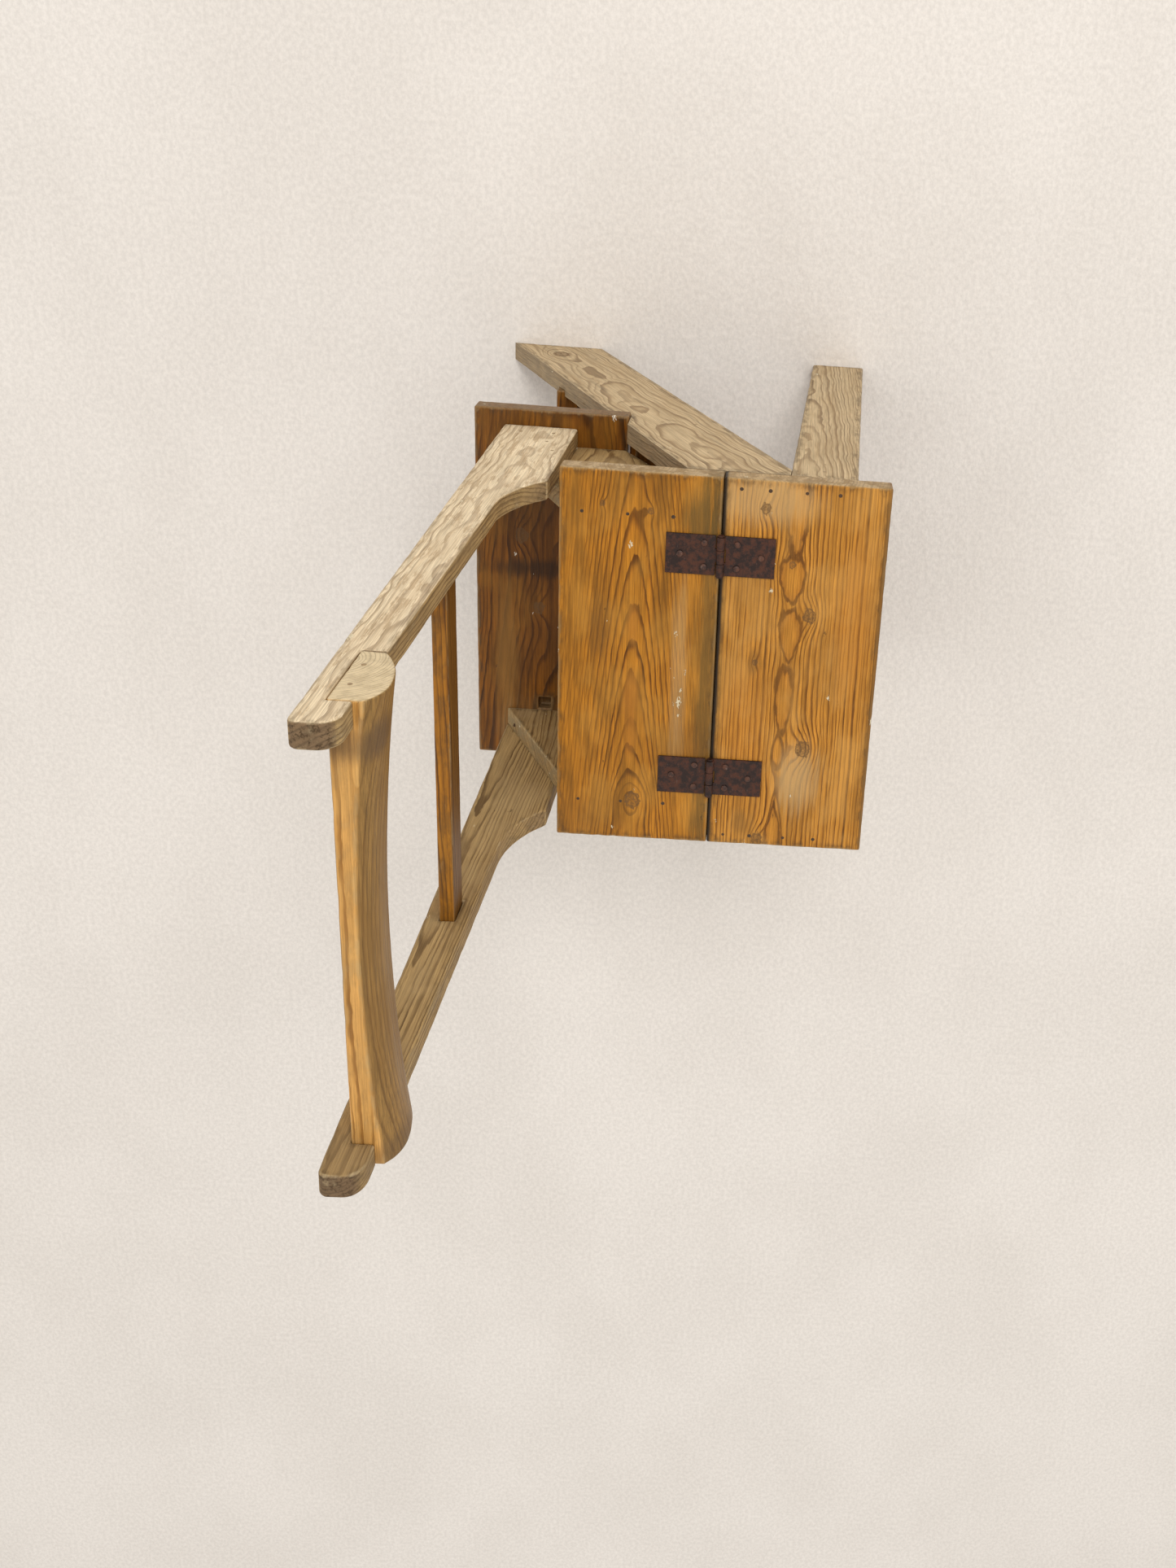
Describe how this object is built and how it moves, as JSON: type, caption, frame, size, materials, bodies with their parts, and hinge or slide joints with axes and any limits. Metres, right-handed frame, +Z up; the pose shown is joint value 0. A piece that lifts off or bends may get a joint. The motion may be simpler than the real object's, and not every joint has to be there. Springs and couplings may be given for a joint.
{
  "type": "metamorphic step chair",
  "caption": "Small pine side chair whose rear seat half, with the chair back and a low step, hinges over the front half to make a flight of library steps.",
  "frame": {"origin": "on the floor under the middle of the chair's bounding box, with the chair standing on its four feet", "axes": "+Z up, the chair faces -Y, +X to the sitter's left; the picture shows the same chair lying on its -X side, seen from above the seat"},
  "size_m": [0.388, 0.4318, 0.924],
  "materials": {
    "seat_pine": "old wax, satin",
    "step_pine": "worn dark stain",
    "frame_pine": "bare, worn",
    "bleached_pine": "bare, bleached",
    "grey_pine": "bare, greyed",
    "rail_pine": "old wax, satin",
    "rusty_iron": "pitted rust",
    "nail_iron": "dull, rusted"
  },
  "bodies": {
    "standing_frame": {"seat_front_board": "seat_pine", "stringer_left": "grey_pine", "stringer_right": "grey_pine", "front_leg_left": "grey_pine", "front_leg_right": "grey_pine", "lower_tread": "step_pine", "middle_tread": "step_pine", "front_apron": "frame_pine", "hinge_left_front_leaf": "rusty_iron", "hinge_left_pin": "rusty_iron", "hinge_right_front_leaf": "rusty_iron", "hinge_right_pin": "rusty_iron", "hinge_front_nails": "rusty_iron", "seat_front_nails": "nail_iron", "tread_nails": "nail_iron", "apron_nails": "nail_iron"},
    "turning_section": {"seat_rear_board": "seat_pine", "turning_step": "step_pine", "cheek_left": "frame_pine", "cheek_right": "frame_pine", "upright_left": "bleached_pine", "upright_right": "bleached_pine", "crest_rail": "rail_pine", "back_rail": "rail_pine", "hinge_left_rear_leaf": "rusty_iron", "hinge_right_rear_leaf": "rusty_iron", "hinge_rear_nails": "rusty_iron", "seat_rear_nails": "nail_iron", "step_nails": "nail_iron", "upright_nails": "nail_iron", "crest_nails": "nail_iron"}
  },
  "joints": [
    {"name": "seat_turn", "type": "hinge", "parent": "standing_frame", "child": "turning_section", "pos_m": [0, -0.06389, 0.462], "axis": [1, 0, 0], "range_deg": [0, 180]}
  ]
}
